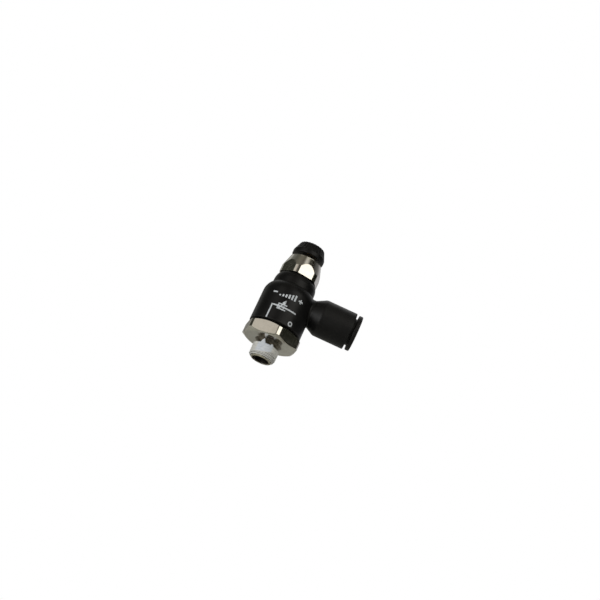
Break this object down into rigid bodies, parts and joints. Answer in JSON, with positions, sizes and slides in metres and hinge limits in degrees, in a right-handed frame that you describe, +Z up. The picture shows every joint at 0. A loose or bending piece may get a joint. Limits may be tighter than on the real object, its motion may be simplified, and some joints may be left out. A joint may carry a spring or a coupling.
{
  "type": "pneumatic flow control valve",
  "caption": "Banjo flow control valve with a taper-thread stud, swivel push-in branch, metering needle, lip-seal check and adjusting knob.",
  "frame": {"origin": "on the stud's axis, on the underside of its hex", "axes": "+Z up the stud's axis towards the knob; +X along the push-in branch, out of its mouth"},
  "size_m": [0.0371, 0.021, 0.047],
  "materials": {
    "nickel_plate": "polished",
    "sealant": "matte",
    "rubber": "matte",
    "brass": "satin",
    "black_polymer": "satin",
    "acetal": "satin",
    "spring_steel": "polished"
  },
  "bodies": {
    "stud_assembly": {"stud": "nickel_plate", "thread_sealant": "sealant", "stem_lower_o_ring": "rubber", "check_seal": "rubber", "seat_ring": "brass", "stem_upper_o_ring": "rubber", "bonnet": "nickel_plate"},
    "swivel_body": {"body": "black_polymer", "tube_seal": "rubber", "seal_spacer": "acetal", "chuck": "spring_steel", "collet": "acetal", "guide_ring": "nickel_plate"},
    "release_button": {"release_button": "black_polymer"},
    "needle_carrier": {"needle_o_ring": "rubber"},
    "knob_and_needle": {"needle": "brass", "knob": "black_polymer"}
  },
  "joints": [
    {"name": "body_swivel", "type": "hinge", "parent": "stud_assembly", "child": "swivel_body", "pos_m": [0, 0, 0.0169], "axis": [0, 0, 1], "continuous": true},
    {"name": "button_press", "type": "slide", "parent": "swivel_body", "child": "release_button", "axis": [-1, 0, 0], "range_m": [0, 0.0007], "stiffness_N_per_m": 400},
    {"name": "needle_lift", "type": "slide", "parent": "stud_assembly", "child": "needle_carrier", "axis": [0, 0, 1], "range_m": [0, 0.0045]},
    {"name": "knob_turn", "type": "hinge", "parent": "needle_carrier", "child": "knob_and_needle", "pos_m": [0, 0, 0.035], "axis": [0, 0, 1], "range_deg": [0, 2160]}
  ],
  "couplings": [
    {"joint": "knob_turn", "follows": "needle_lift", "rad_per_m": 8377.6}
  ]
}
